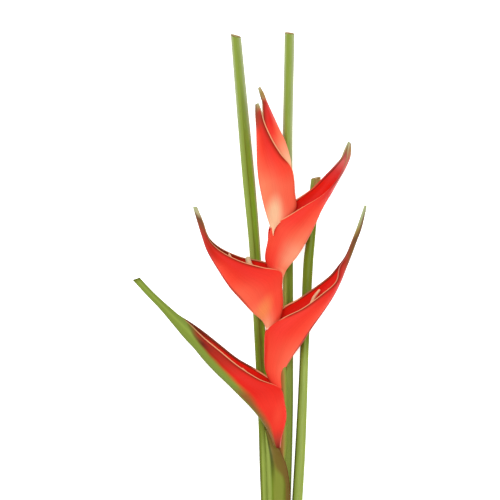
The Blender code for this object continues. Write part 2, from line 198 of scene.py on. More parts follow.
# The left stalk's sheath wraps over the flower stem. Each station is y, then the middle line of
# the sheath as (x, z) points from inside the stalk to its free edge.
SHEATH = (
    (0, (-10, 8), (-6.5, 12.2), (-2.8, 14.4), (1.5, 15.9), (7, 14.6), (12, 13.1), (16.2, 9.8)),
    (60, (-10.5, 8), (-7, 12.3), (-3, 15.6), (2, 17.7), (7.2, 16), (11.5, 13.6), (15.8, 11.2)),
    (78, (-11, 8), (-7.8, 12.3), (-3.5, 16.6), (2.5, 19.6), (7.5, 18), (11, 15.4), (14.3, 12.8)),
    (95, (-11.5, 8), (-8.5, 12.3), (-4, 17.5), (1, 21), (5, 21.4), (8.5, 20.2), (11.5, 18.2)),
    (106, (-11.8, 8), (-9, 12.5), (-5, 18), (-1.5, 22), (2, 23.6), (5, 23.8), (7.5, 23)),
    (113, (-12, 8), (-9.5, 12.5), (-6.2, 18), (-3.6, 22), (-1, 24.2), (2, 25.2), (4.5, 25.5)),
    (120, (-12.3, 8), (-10, 12.5), (-7.8, 15), (-5.6, 16.6), (-3.6, 17.6), (-1.8, 18.2), (0, 18.4)),
    (127, (-12.6, 8), (-10.7, 11.6), (-9.3, 13), (-7.9, 14), (-6.5, 14.6), (-5, 15), (-3.4, 15.2)),
    (135, (-13, 8), (-12.2, 10.4), (-11.4, 11.4), (-10.6, 12), (-9.8, 12.4), (-9, 12.6),
     (-8.2, 12.6)),
)

# Flower stem: x, y and height over the flower's plane of its middle line, and its radius.
FLOWER_STEM = (
    (1.6, 0, -15.4, 4.1), (2, 60, -14, 4), (5.6, 96, -9, 4.6), (7.4, 120, -6.4, 4.9),
    (7.4, 150, -4, 4.9), (7.6, 178, -3, 4.9), (7, 200, -1, 4.7), (2, 222, 0, 3.6),
    (-4.5, 250, 0, 3.4), (-2, 278, 0, 3.3), (0.6, 303, 0, 3.2), (-1, 333, 0, 3),
    (2.2, 354.5, 0, 2.8), (5, 377, 0, 2.5), (8, 394.2, 0, 2.3), (7, 414, 0, 1.8),
    (3, 430, 0, 1.2),
)

# Florets: the same, from beside the flower stem to the tip that shows between a bract's margins.
FLORETS = (
    ((-6, 174.2, 0, 2.4), (-20, 186, 0, 2.6), (-31, 196, 0, 2.2), (-37, 202.5, 0, 1.2)),
    ((3, 231.5, 0, 2.4), (20, 250, -1, 2.6), (36.5, 270.5, -1, 2), (42, 281.5, 0, 1.7),
     (47.6, 289, 1, 1.3)),
    ((-7.6, 279, 0, 2.2), (-18, 299, 0, 2.6), (-28.5, 316, 1, 3.1), (-30.8, 323.4, 2, 3)),
    ((-8.4, 268, 0, 2), (-31, 292, -1, 2.4), (-46, 317, -1, 2), (-51.5, 328.5, 0, 1.1)),
)
FADED_FLORET = 3


# How bright a level, open surface is lit, and what its soft gloss adds. A base colour is what the
# gloss leaves of its screen colour, over the light.
LIGHT_LEVEL = 1.4
GLOSS_VEIL = 0.015
DARKEST = 0.002

# Painted light: how brightly a bract's inside shines in its own colour. It stands in for light that
# comes through the thin leaf and lifts the shade inside.
INSIDE_PAINTED_GLOW = 0.1

# How much brighter or darker a green keel is from the margin to the keel: its ribs, a painted
# highlight along its belly, and a darker edge at the keel.
KEEL_RIBS_AND_HIGHLIGHT = (
    (0, -0.14), (0.12, -0.2), (0.3, -0.1), (0.45, 0.14), (0.6, -0.02), (0.8, -0.14), (1, -0.4),
)

# Painted light: a keel is brighter between these places, from the margin to the keel, to lift the
# shade on the side that turns from the light, and its edge wanders.
KEEL_PAINTED_LIGHT = (0.6, 0.9)
KEEL_PAINTED_LIGHT_GAIN = 0.12
KEEL_WANDER = 0.16

# The dark line on the keel: where it lies from 0 at the margin to 1 at the keel, and the
# stations between which it starts.
KEEL_LINE = (0.935, 0.975)
KEEL_LINE_START = (1.0, 3.5)

# Shades along a bract's margins: how far from the margin each starts and is full.
FLUSH_REACH = (6.5, 1.8)
FLUSH_STRENGTH = 0.85
INNER_SHADE_REACH = (3.0, 1.0)
INNER_SHADE_STRENGTH = 0.35
FAR_SHADE_REACH = (2.8, 1.3)
RIM_REACH = (1.3, 0.8)

# The fine dark line beside the rim: how far from the margin it starts and ends, and its fade.
MARGIN_LINE = (1.3, 2.0, 0.7)
MARGIN_LINE_STRENGTH = 0.5

# How many stations the open margins, and the shades along them, take to start and to end.
OPENING_FADE = 0.4
SHADE_FADE = 0.6

# How fine a grain is across a piece and along it.
BRACT_VEINS = (34.0, 0.4)
BRACT_CLOUDS = (2.0, 0.7)
STALK_STREAKS = (26.0, 7.0)
STALK_BLOTCHES = (2.0, 30.0)
STALK_SPECKS = (9.0, 160.0)
SHEATH_STREAKS = (26.0, 9.0)
SHEATH_CLOUDS = (4.0, 40.0)
FLESH_GRAIN = (18.0, 5.0)

# Pores and clouds of a cut face, in cells a metre.
CUT_PORES = 700.0
CUT_CLOUDS = 300.0

# How high each pattern stands, in millimetres.
VEIN_RELIEF = 0.15
STREAK_RELIEF = 0.12
GRAIN_RELIEF = 0.1
PORE_RELIEF = 0.3

# How much brighter the bright lines of a grain are than its dark ones.
GRAIN_CONTRAST = 0.28

# How far from its top cut a stalk starts to be dry, and is dry.
DRIED_REACH = (2.6, 0.4)
DRIED_STRENGTH = 0.65

# The pattern's values at which a stalk's specks and a cut's pores start to show and are full.
SPECK_VALUES = (0.7, 0.8)
SPECK_STRENGTH = 0.6
PORE_VALUES = (0.42, 0.16)
PORE_STRENGTH = 0.75

# Where the sheath's stain and the painted shade in its fold (y), and the stem's red (from 0 to 1
# along it), start and are full.
SHEATH_STAIN_AND_SHADE = (70.0, 105.0)
STEM_BLUSH = (0.46, 0.54)

# Screen colours from 0 to 255.
IVORY = (255, 228, 198)
CREAM = (253, 196, 154)
PEACH = (254, 158, 122)
APRICOT = (252, 130, 96)
CORAL = (253, 104, 78)
FLAME = (253, 82, 62)
SCARLET = (248, 64, 52)
POPPY = (236, 52, 44)
CLARET = (200, 50, 38)
WINE = (160, 48, 34)
ROSE = (224, 64, 62)
PINK = (230, 114, 108)
DUSK = (200, 106, 98)
BRICK = (188, 70, 56)
RUST = (144, 78, 54)
BARK = (120, 84, 58)
MAROON = (112, 44, 26)
GARNET = (176, 48, 30)
CRIMSON = (240, 44, 36)
AMBER = (255, 146, 84)
KHAKI = (162, 108, 58)
UMBER = (124, 98, 50)
HAY = (166, 138, 74)
TAN = (250, 166, 122)
SAND = (178, 136, 92)
STRAW = (198, 184, 142)
SAGE = (178, 188, 140)
LIME = (160, 176, 86)
# PALE_LIME and SPRING are painted light: lighter greens where the flower's shade falls on the
# stalks.
PALE_LIME = (196, 226, 112)
SPRING = (139, 182, 58)
FROND = (138, 147, 62)
GRASS = (152, 170, 82)
LEAF = (141, 160, 70)
FERN = (118, 135, 42)
OLIVE = (116, 122, 46)
MOSS = (97, 102, 32)
PEAT = (78, 84, 16)


class BractLook(NamedTuple):
    """How one bract is coloured. Stops are (station, colour), from the base to the tip: outside
    on the margin's side and keel on the keel's side, which turn into each other round keel_edge,
    from 0 at the margin to 1 at the keel, within keel_fade. keel_line is how strong the dark line
    on the keel is, and ridged how strong the ribs and the painted highlight beside it. flush is
    where the deep red beside the margins starts and ends. The margins are open and show their rim
    from rim_start to rim_end, and far_shading is where painted shade turns the far one dark, and
    how
    much it darkens its rim and its wall. A glow is a soft patch of painted light and shade:
    (middle, radii, turn, colour, strength). All starts and ends are stations."""
    stations: tuple
    outside: tuple
    inside: tuple
    keel: tuple
    keel_edge: tuple
    keel_fade: float
    keel_line: float
    line_colour: tuple
    flush: tuple
    rim: tuple
    rim_start: float
    rim_end: float
    far_shading: tuple = (9, 0, 0)
    ribs_and_highlight_share: float = 0.0
    glows: tuple = ()


BRACT_LOOKS = (
    BractLook(
        stations=BRACT_1,
        outside=(
            (0, MAROON), (0.8, BRICK), (1.6, SCARLET), (3, SCARLET), (4, POPPY), (5.4, POPPY),
            (6.4, CLARET), (7.1, GARNET), (7.8, MAROON), (8.4, UMBER), (9.2, OLIVE), (13, OLIVE),
        ),
        inside=(
            (0, SAND), (1.8, SAND), (2.6, CRIMSON), (6.2, CRIMSON), (7.4, CLARET), (8.4, MAROON),
            (9.2, OLIVE), (13, OLIVE),
        ),
        keel=(
            (0, MOSS), (1, KHAKI), (2, KHAKI), (4, KHAKI), (4.8, LEAF), (12.7, LEAF), (13, MOSS),
        ),
        keel_edge=(
            (0, 0.6), (1, 0.76), (2, 0.8), (3, 0.81), (4, 0.76), (5, 0.71), (6, 0.62), (7, 0.59),
            (7.6, 0.52), (8.4, 0.44), (9, 0.2), (9.6, -0.2), (13, -0.2),
        ),
        keel_fade=0.12,
        keel_line=0.8,
        line_colour=FERN,
        ribs_and_highlight_share=1.0,
        flush=(4.9, 8.2),
        rim=(
            (0, SAND), (0.6, PINK), (1.6, SCARLET), (4, SCARLET), (4.6, TAN), (7.5, TAN), (9, SAND),
            (10.5, LEAF), (13, LEAF),
        ),
        rim_start=0.2,
        rim_end=9.2,
        far_shading=(5.4, 0.9, 0.4),
        glows=(((2, 150), (9, 24), -12, FLAME, 0.7),),
    ),
    BractLook(
        stations=BRACT_2,
        outside=(
            (0, SCARLET), (1, FLAME), (2, FLAME), (3.2, SCARLET), (5, SCARLET), (6.4, POPPY),
            (7.8, ROSE), (8.6, BRICK), (9.4, RUST), (10.2, BARK), (10.8, HAY), (11.4, SAGE),
            (12, SAGE),
        ),
        inside=((0, CRIMSON), (7.5, CRIMSON), (9, GARNET), (10, BARK), (11, SAGE), (12, SAGE)),
        keel=(
            (0, FLAME), (1.2, CORAL), (2.3, CORAL), (3.5, FLAME), (5, FLAME), (6.6, ROSE),
            (7.8, BRICK), (8.6, RUST), (9.2, UMBER), (10.2, BARK), (11.4, BARK), (11.9, SAGE),
            (12, SAGE),
        ),
        keel_edge=((0, 0.6), (6, 0.7), (8, 0.66), (12, 0.6)),
        keel_fade=0.34,
        keel_line=0.7,
        line_colour=MAROON,
        flush=(4.4, 8.4),
        rim=(
            (0, CORAL), (3, TAN), (6.5, TAN), (8, DUSK), (9.5, RUST), (10.4, SAND), (11, SAGE),
            (12, SAGE),
        ),
        rim_start=4.1,
        rim_end=11,
        far_shading=(5.4, 0.65, 0.4),
        glows=(((-11.5, 221), (4, 34), -3, POPPY, 0.8),),
    ),
    BractLook(
        stations=BRACT_3,
        outside=(
            (0, IVORY), (0.16, APRICOT), (0.5, FLAME), (2, FLAME), (3.2, SCARLET), (4.6, POPPY),
            (5.6, POPPY), (6.3, CLARET), (7, BRICK), (7.7, RUST), (8.1, BARK), (8.45, STRAW),
            (9, SAGE),
        ),
        inside=((0, CRIMSON), (4, CRIMSON), (5.5, WINE), (7, BARK), (9, STRAW)),
        keel=(
            (0, IVORY), (0.3, PEACH), (1.5, APRICOT), (2.4, CORAL), (3.4, CORAL), (4.2, FLAME),
            (5, FLAME), (5.8, CLARET), (7, CLARET), (7.8, RUST), (8.3, BARK), (8.7, SAGE),
            (9, SAGE),
        ),
        keel_edge=((0, 0.55), (3, 0.62), (6, 0.7), (9, 0.7)),
        keel_fade=0.36,
        keel_line=0.55,
        line_colour=MAROON,
        flush=(4.2, 7),
        rim=(
            (0, CREAM), (2.4, CREAM), (2.9, CORAL), (3.2, CORAL), (3.6, TAN), (6.4, TAN),
            (7.2, SAND), (8, SAND), (8.5, STRAW), (9, SAGE),
        ),
        rim_start=1.3,
        rim_end=9,
        far_shading=(4, 0.45, 0.4),
        glows=(((-14, 266), (11, 26), -24, AMBER, 0.75),),
    ),
    BractLook(
        stations=BRACT_4,
        outside=(
            (0, IVORY), (0.2, CORAL), (0.8, SCARLET), (2, FLAME), (3, FLAME), (4, SCARLET),
            (5.4, SCARLET), (6.5, ROSE), (7.2, DUSK), (8, PINK), (9, DUSK), (10, SAND),
            (10.6, STRAW), (11, SAGE),
        ),
        inside=(
            (0, CRIMSON), (6.5, CRIMSON), (7.6, ROSE), (8.6, PINK), (9.4, DUSK), (10, SAND),
            (11, SAGE),
        ),
        keel=(
            (0, IVORY), (0.5, PEACH), (1, APRICOT), (1.6, PEACH), (2.2, PEACH), (3, APRICOT),
            (4, CORAL), (5, FLAME), (6, ROSE), (6.6, PINK), (8.4, DUSK), (10, SAND), (11, BARK),
        ),
        keel_edge=((0, 0.6), (6, 0.66), (11, 0.7)),
        keel_fade=0.34,
        keel_line=0.15,
        line_colour=MAROON,
        flush=(7, 7.6),
        rim=(
            (0, CREAM), (2, CORAL), (3.4, TAN), (5, TAN), (5.8, CORAL), (6.6, ROSE), (8, DUSK),
            (9, SAND), (10, STRAW), (11, SAGE),
        ),
        rim_start=3.2,
        rim_end=11,
        far_shading=(5, 0.1, 0.6),
    ),
    BractLook(
        stations=BRACT_5,
        outside=(
            (0, CREAM), (0.4, PEACH), (0.8, CORAL), (1.6, CORAL), (2.4, CORAL), (3, FLAME),
            (4, SCARLET), (5, POPPY), (5.8, POPPY), (6.5, BRICK), (7, BRICK), (7.4, SAND),
            (8, SAGE),
        ),
        inside=((0, CRIMSON), (6, CRIMSON), (8, BARK)),
        keel=(
            (0, CREAM), (0.6, CREAM), (1.1, PEACH), (2, APRICOT), (2.8, APRICOT), (3.6, CORAL),
            (4.8, FLAME), (5.6, FLAME), (6.2, BRICK), (7, RUST), (7.6, BARK), (8, BARK),
        ),
        keel_edge=((0, 0.45), (2, 0.55), (4, 0.62), (8, 0.7)),
        keel_fade=0.36,
        keel_line=0.25,
        line_colour=CORAL,
        flush=(3.7, 6.4),
        rim=((0, CREAM), (3, TAN), (6, TAN), (7, STRAW), (8, SAGE)),
        rim_start=2.8,
        rim_end=8,
        glows=(((-2, 374), (12.5, 27), -6, CREAM, 1.15),),
    ),
    BractLook(
        stations=BRACT_6,
        outside=(
            (0, CREAM), (1.8, CREAM), (2.3, PEACH), (2.9, CORAL), (3.6, SCARLET), (4.4, POPPY),
            (5.4, ROSE), (6, BRICK), (6.5, SAND), (7.1, HAY), (8, STRAW),
        ),
        inside=((0, CRIMSON), (6, CRIMSON), (8, BARK)),
        keel=(
            (0, IVORY), (1.4, CREAM), (2, CREAM), (2.6, PEACH), (3.2, APRICOT), (4, CORAL),
            (4.8, PINK), (6, PINK), (6.5, SAND), (7.4, SAND), (8, STRAW),
        ),
        keel_edge=((0, 0.7), (3, 0.62), (5, 0.84), (8, 0.84)),
        keel_fade=0.26,
        keel_line=0.0,
        line_colour=PINK,
        flush=(3, 5.8),
        rim=((0, CREAM), (4, TAN), (5.6, SAND), (6.4, BARK), (8, SAGE)),
        rim_start=3,
        rim_end=8,
    ),
)


class StalkStretch(NamedTuple):
    """A stretch of a stalk: the y where it starts to show, the y where it has, and its colours
    from the stalk's left edge (0) to its right edge (1). A stalk's first stretch is all of it.
    The colours carry painted light and shade: darker edges and a darker line by the channel in
    places, and lighter, greener colours where the flower's shade falls on the stalk."""
    above: float
    below: float
    stops: tuple


ABOVE_TOP = 600.0
STALK_TOP = StalkStretch(ABOVE_TOP, ABOVE_TOP, (
    (0, SAGE), (0.06, SAGE), (0.24, GRASS), (0.36, LEAF), (0.54, LEAF), (0.68, GRASS), (0.88, SAGE),
    (1, SAGE),
))
LEFT_STALK_STRETCHES = (
    STALK_TOP,
    StalkStretch(510, 420, (
        (0, GRASS), (0.22, GRASS), (0.36, LEAF), (0.46, FERN), (0.56, SPRING), (0.8, SPRING),
        (1, SAGE),
    )),
    StalkStretch(290, 230, (
        (0, FERN), (0.2, FERN), (0.36, OLIVE), (0.6, FERN), (0.8, SPRING), (1, SPRING),
    )),
    StalkStretch(150, 105, (
        (0, PEAT), (0.08, OLIVE), (0.16, FERN), (0.22, LIME), (0.3, LIME), (0.4, LEAF), (0.5, LIME),
        (0.62, LIME), (0.8, GRASS), (1, LEAF),
    )),
)
MIDDLE_STALK_STRETCHES = (
    STALK_TOP,
    StalkStretch(430, 320, (
        (0, PALE_LIME), (0.24, PALE_LIME), (0.38, LEAF), (0.5, FERN), (1, LEAF),
    )),
    StalkStretch(240, 190, ((0, SAND), (0.36, HAY), (0.5, LIME), (0.75, GRASS), (1, FERN))),
)
RIGHT_STALK_STRETCHES = (
    StalkStretch(ABOVE_TOP, ABOVE_TOP, ((0, GRASS), (0.2, GRASS), (0.4, HAY), (1, HAY))),
    StalkStretch(406, 396, ((0, LEAF), (0.3, FERN), (0.6, FERN), (0.9, FERN), (1, LEAF))),
    StalkStretch(240, 200, (
        (0, PEAT), (0.06, MOSS), (0.16, LEAF), (0.24, GRASS), (0.55, GRASS), (0.7, LIME),
        (0.88, GRASS), (1, LIME),
    )),
)

# The camera's picture is 500 pixels wide, at 1.1 mm a pixel in the flower's plane.
PICTURE_WIDTH = 550.0
PICTURE_MIDDLE = (-28.6, 333.3)
CAMERA_HEIGHT = 12000.0
SENSOR_WIDTH = 36.0

# The studio, in metres.
CAMERA_REACH = 50.0
FLOOR_REACH = 4.0
FLOOR_WHITE = (0.9, 0.9, 0.9, 1.0)
FLOOR_GLOW = 0.75
LAMP_SIZE = 1.2
WHITE = (1.0, 1.0, 1.0, 1.0)


def base_colour(colour):
    """The base colour that comes out as a screen colour under this scene's light. The screen's
    own curve is undone first."""
    linear = [((v / 255 + 0.055) / 1.055) ** 2.4 for v in colour]
    return (*(max(v - GLOSS_VEIL, DARKEST) / LIGHT_LEVEL for v in linear), 1.0)


def in_frame(x, y, z=0.0):
    """A place in the tables' millimetres, in the frame's metres."""
    return (Vector((x, y, z)) - FOOTPRINT_MIDDLE) * MM


class Shade:
    """A socket that takes part in sums: each operator adds its Math node."""

    def __init__(self, paint, socket):
        self.paint = paint
        self.socket = socket

    def maths(self, operation, *values):
        return self.paint.node("Math", dict(enumerate(values)), operation=operation)

    def __add__(self, other):
        return self.maths("ADD", self, other)

    def __sub__(self, other):
        return self.maths("SUBTRACT", self, other)

    def __rsub__(self, other):
        return self.maths("SUBTRACT", other, self)

    def __mul__(self, other):
        return self.maths("MULTIPLY", self, other)

    __radd__ = __add__
    __rmul__ = __mul__


class Paint:
    """A material and what its shader is made of."""

    def __init__(self, name, roughness, specular=0.1):
        self.material = bpy.data.materials.new(name)
        self.material.use_nodes = True
        self.tree = self.material.node_tree
        self.shader = self.tree.nodes["Principled BSDF"]
        self.shader.inputs["Roughness"].default_value = roughness
        self.shader.inputs["Specular IOR Level"].default_value = specular

    def feed(self, socket, value):
        if isinstance(value, Shade):
            self.tree.links.new(value.socket, socket)
        else:
            socket.default_value = value

    def node(self, kind, sockets, output=0, stops=(), **settings):
        """Adds a node: its settings and ramp stops first, then its sockets' values or links."""
        node = self.tree.nodes.new("ShaderNode" + kind)
        for name, value in settings.items():
            setattr(node, name, value)
        if stops:
            elements = node.color_ramp.elements
            while len(elements) < len(stops):
                elements.new(0.5)
            for element, (place, colour) in zip(elements, stops):
                element.position = place
                element.color = colour
        for name, value in sockets.items():
            self.feed(node.inputs[name], value)
        return Shade(self, node.outputs[output])

    def attribute(self, name):
        return self.node("Attribute", {}, output=2, attribute_name=name)

    def ramp(self, value, stops):
        """Screen colours at places from 0 to 1."""
        lit = [(place, base_colour(colour)) for place, colour in stops]
        return self.node("ValToRGB", {0: value}, stops=lit)

    def level(self, value, stops):
        """A number that follows a line through stops; it can be from -1 to 1."""
        greys = [(place, ((level + 1) / 2,) * 3 + (1.0,)) for place, level in stops]
        return self.node("ValToRGB", {0: value}, stops=greys) * 2.0 - 1.0

    def rise(self, value, low, high):
        """0 below low and 1 above high, with a smooth step between; low may be the larger."""
        places = {"Value": value, "From Min": low, "From Max": high}
        return self.node("MapRange", places, interpolation_type="SMOOTHSTEP")

    def band(self, value, start, end, fade):
        """1 between start and end, and 0 beyond them."""
        return self.rise(value, start - fade, start) * self.rise(value, end + fade, end)

    def blend(self, below, above, share):
        sockets = {0: share, 6: below, 7: above}
        return self.node("Mix", sockets, output=2, data_type="RGBA")

    def tint(self, below, colour, share):
        """Lays a screen colour over another."""
        return self.blend(below, base_colour(colour), share)

    def place(self):
        return self.node("TexCoord", {}, output=3)

    def axis(self, number):
        """One coordinate of the point in the frame, in metres."""
        return self.node("SeparateXYZ", {0: self.place()}, output=number)

    def noise(self, vector, scale, detail=2.0):
        """Cloudy noise round 0.5."""
        return self.node("TexNoise", {"Vector": vector, "Scale": scale, "Detail": detail})

    def grain(self, across, along, fineness, detail=3.0):
        """Noise drawn out along the piece."""
        place = self.node("CombineXYZ", {0: across * fineness[0], 1: along * fineness[1]})
        return self.noise(place, 1.0, detail)

    def patch(self, middle, radii, turn):
        """1 at a place and 0 from an ellipse round it outwards, whatever the height."""
        sockets = {
            "Vector": self.place(),
            "Location": in_frame(*middle),
            "Rotation": (0.0, 0.0, math.radians(turn)),
            "Scale": (radii[0] * MM, radii[1] * MM, 1.0),
        }
        local = self.node("Mapping", sockets, vector_type="TEXTURE")
        flat = self.node("VectorMath", {0: local, 1: (1.0, 1.0, 0.0)}, operation="MULTIPLY")
        return self.rise(self.node("VectorMath", {0: flat}, output=1, operation="LENGTH"), 1.0, 0.0)

    def brighten(self, colour, value):
        return self.node("VectorMath", {0: colour, 3: value}, operation="SCALE")

    def grained(self, colour, grain):
        """The colour, brighter and darker with a grain."""
        return self.brighten(colour, 1.0 - GRAIN_CONTRAST / 2 + grain * GRAIN_CONTRAST)

    def finish(self, colour, height=None, relief=0.0):
        """Sets the colour, and a bump of that relief in millimetres."""
        self.feed(self.shader.inputs["Base Color"], colour)
        if height is not None:
            bump = self.node("Bump", {"Height": height, "Distance": relief * MM, "Strength": 1.0})
            self.feed(self.shader.inputs["Normal"], bump)
        return self.material


def station_stops(stops, last):
    """Stops at stations as stops from 0 at the first station to 1 at the last."""
    return [(station / last, value) for station, value in stops]


def make_bract_finish(name, look):
    """A waxy bract: a red flank that turns to green, brown or cream at its ends, a keel of its own
    colour, a deeper flush and a fine dark line under the pale rim, and lengthwise veins. Painted
    light and shade lie over these: soft lit and shaded patches, a brighter keel side, a painted
    highlight on a green keel, painted shade on the far wall, and painted light on its inside, in
    its own colour, that stands in for light coming through the thin leaf."""
    paint = Paint(name, roughness=0.45, specular=0.08)
    along = paint.attribute("along")
    across = paint.attribute("across")
    lining = paint.rise(paint.attribute("lining"), 0.5, 0.95)
    edge = paint.attribute("edge")
    last = len(look.stations) - 1
    lengths = along * last
    veins = paint.grain(across, lengths, BRACT_VEINS)
    cloud = paint.grain(across, lengths, BRACT_CLOUDS, 2.0)
    opened = paint.band(lengths, look.rim_start, look.rim_end, OPENING_FADE)
    flushed = paint.band(lengths, *look.flush, SHADE_FADE) * opened
    # Painted shade on the far wall's inside and rim, between these stations.
    shade_start, rim_shade, wall_shade = look.far_shading
    shade_end = look.flush[1] + 1.0
    far_side_shade = paint.attribute("far") * paint.band(lengths, shade_start, shade_end, SHADE_FADE)

    outside = paint.ramp(along, station_stops(look.outside, last))
    flush = paint.rise(edge, *FLUSH_REACH) * flushed * FLUSH_STRENGTH
    outside = paint.tint(outside, GARNET, flush)
    keel = paint.ramp(along, station_stops(look.keel, last))
    # A green keel's ribs, with a painted highlight along its belly.
    ribs_and_highlight = paint.level(across, KEEL_RIBS_AND_HIGHLIGHT) * look.ribs_and_highlight_share
    # Painted light on the keel's side that turns from the light.
    keel = paint.brighten(keel, 1.0 + ribs_and_highlight + paint.rise(across, *KEEL_PAINTED_LIGHT) * KEEL_PAINTED_LIGHT_GAIN)
    keel_edge = paint.level(along, station_stops(look.keel_edge, last))
    keel_edge = keel_edge + (cloud - 0.5) * KEEL_WANDER
    keel_start, keel_end = keel_edge - look.keel_fade, keel_edge + look.keel_fade
    outside = paint.blend(outside, keel, paint.rise(across, keel_start, keel_end))
    # Soft patches of painted light and shade over the bract's colour.
    for middle, radii, turn, colour, strength in look.glows:
        outside = paint.tint(outside, colour, paint.patch(middle, radii, turn) * strength)
    keel_line = paint.rise(across, *KEEL_LINE) * paint.rise(lengths, *KEEL_LINE_START)
    outside = paint.tint(outside, look.line_colour, keel_line * look.keel_line)

    inside = paint.ramp(along, station_stops(look.inside, last))
    inner_shade = paint.rise(edge, *INNER_SHADE_REACH) * opened * INNER_SHADE_STRENGTH
    inside = paint.tint(inside, MAROON, inner_shade)
    far_shade = paint.rise(edge, *FAR_SHADE_REACH) * far_side_shade * wall_shade
    inside = paint.tint(inside, MAROON, far_shade)
    colour = paint.blend(outside, inside, lining)
    margin_line = paint.band(edge, *MARGIN_LINE) * flushed * MARGIN_LINE_STRENGTH
    colour = paint.tint(colour, MAROON, margin_line)
    colour = paint.brighten(colour, 0.93 + (veins - 0.5) * 0.2 + cloud * 0.12)
    rim = paint.ramp(along, station_stops(look.rim, last))
    # Painted shade darkens the far rim.
    rim = paint.tint(rim, MAROON, far_side_shade * rim_shade)
    colour = paint.blend(colour, rim, paint.rise(edge, *RIM_REACH) * opened)
    # Painted light: the inside shines in its own colour, lifting the shade in it.
    glow = paint.brighten(colour, lining * INSIDE_PAINTED_GLOW)
    paint.feed(paint.shader.inputs["Emission Color"], glow)
    paint.shader.inputs["Emission Strength"].default_value = 1.0
    return paint.finish(colour, veins, VEIN_RELIEF)


def make_stalk_finish(name, stretches):
    """A leaf stalk: long green streaks, small brown specks, a dried edge at the cut, and painted
    light and shade across it from its stretches.
    """
    paint = Paint(name, roughness=0.5)
    face = paint.attribute("face")
    from_cut = paint.attribute("from_cut")
    y = paint.axis(1)
    streak = paint.grain(face, y, STALK_STREAKS)
    blotch = paint.grain(face, y, STALK_BLOTCHES, 2.0)
    wobbling = face + (blotch - 0.5) * 0.08
    # Painted light and shade across the stalk, from its stretches' colours.
    colour = paint.ramp(wobbling, stretches[0].stops)
    for above, below, stops in stretches[1:]:
        share = paint.rise(y, in_frame(0.0, above).y, in_frame(0.0, below).y)
        colour = paint.blend(colour, paint.ramp(wobbling, stops), share)
    specks = paint.grain(face, y, STALK_SPECKS, 1.0)
    colour = paint.tint(colour, BARK, paint.rise(specks, *SPECK_VALUES) * SPECK_STRENGTH)
    colour = paint.brighten(colour, 0.84 + (streak - 0.5) * 0.5 + blotch * 0.3)
    dried = paint.rise(from_cut + (specks - 0.5) * 3.0, *DRIED_REACH)
    colour = paint.tint(colour, BARK, dried * DRIED_STRENGTH)
    return paint.finish(colour, streak, STREAK_RELIEF)


def make_cut_finish(name):
    """The cut face of a stalk: its air canals show as dark pores in drying pith."""
    paint = Paint(name, roughness=0.8)
    cells = paint.node("TexVoronoi", {"Vector": paint.place(), "Scale": CUT_PORES})
    pore = paint.rise(cells, *PORE_VALUES)
    cloud = paint.noise(paint.place(), CUT_CLOUDS)
    colour = paint.ramp(cloud, ((0.3, SAND), (0.5, HAY), (0.7, STRAW)))
    colour = paint.tint(colour, PEAT, pore * PORE_STRENGTH)
    return paint.finish(colour, pore * -1.0, PORE_RELIEF)


def make_sheath_finish(name):
    """The sheath: green streaks like the stalk's where it leaves it, olive over the stem, a brown
    stain near its tip, a dark free edge, and painted shade in the fold beside the stalk near its
    tip."""
    paint = Paint(name, roughness=0.5)
    across = paint.attribute("across")
    y = paint.axis(1)
    streak = paint.grain(across, y, SHEATH_STREAKS)
    cloud = paint.grain(across, y, SHEATH_CLOUDS, 2.0)
    colour = paint.ramp(across + (cloud - 0.5) * 0.05, (
        (0, GRASS), (0.12, LIME), (0.22, LIME), (0.29, LEAF), (0.33, FERN), (0.4, FROND),
        (0.62, FROND), (0.74, OLIVE), (0.86, UMBER), (0.95, PEAT), (1, PEAT),
    ))
    tipward = paint.rise(y, *(in_frame(0.0, end).y for end in SHEATH_STAIN_AND_SHADE))
    stain_start = 0.7 - tipward * 0.5 + (cloud - 0.5) * 0.2
    colour = paint.tint(colour, UMBER, paint.rise(across, stain_start, stain_start + 0.3) * 0.85)
    # Painted shade: a dark line in the fold where the sheath leaves the stalk, near its tip.
    colour = paint.tint(colour, PEAT, tipward * paint.band(across, 0.33, 0.37, 0.08) * 0.85)
    colour = paint.tint(colour, MAROON, paint.rise(across, 0.93, 0.985) * 0.8)
    return paint.finish(paint.grained(colour, streak), streak, STREAK_RELIEF)


def make_stem_finish(name):
    """The flower stem: brown to green round its open side, and red among the bracts."""
    paint = Paint(name, roughness=0.5)
    along = paint.attribute("along")
    around = paint.attribute("around")
    grain = paint.grain(around, along, FLESH_GRAIN)
    colour = paint.ramp(around, ((0, KHAKI), (0.5, KHAKI), (0.6, HAY), (0.72, FROND), (0.9, FERN)))
    red = paint.ramp(along, ((0, CORAL), (1, PEACH)))
    colour = paint.blend(colour, red, paint.rise(along, *STEM_BLUSH))
    return paint.finish(paint.grained(colour, grain), grain, GRAIN_RELIEF)


def make_floret_finish(name, tip_colour):
    """A floret: peach beside the stem, then cream, with a tip of its own colour."""
    paint = Paint(name, roughness=0.45)
    along = paint.attribute("along")
    grain = paint.grain(paint.attribute("around"), along, FLESH_GRAIN)
    colour = paint.ramp(along, ((0, PEACH), (0.6, CREAM), (1, tip_colour)))
    return paint.finish(paint.grained(colour, grain), grain, GRAIN_RELIEF)


def smooth_through(stations, rows_between, straight=0):
    """Rows of numbers on a smooth curve through the stations, stations included. The last few
    numbers of a row, as many as straight says, run straight from station to station."""
    rows = []
    curved = len(stations[0]) - straight
    last = len(stations) - 1
    for i in range(last):
        before, start = stations[max(i - 1, 0)], stations[i]
        end, after = stations[i + 1], stations[min(i + 2, last)]
        for step in range(rows_between):
            t = step / rows_between
            row = [
                b + 0.5 * t * (c - a + t * (2 * a - 5 * b + 4 * c - d + t * (3 * (b - c) + d - a)))
                for a, b, c, d in zip(before[:curved], start, end, after)
            ]
            row += [b + t * (c - b) for b, c in zip(start[curved:], end[curved:])]
            rows.append(row)
    rows.append(list(stations[last]))
    return rows


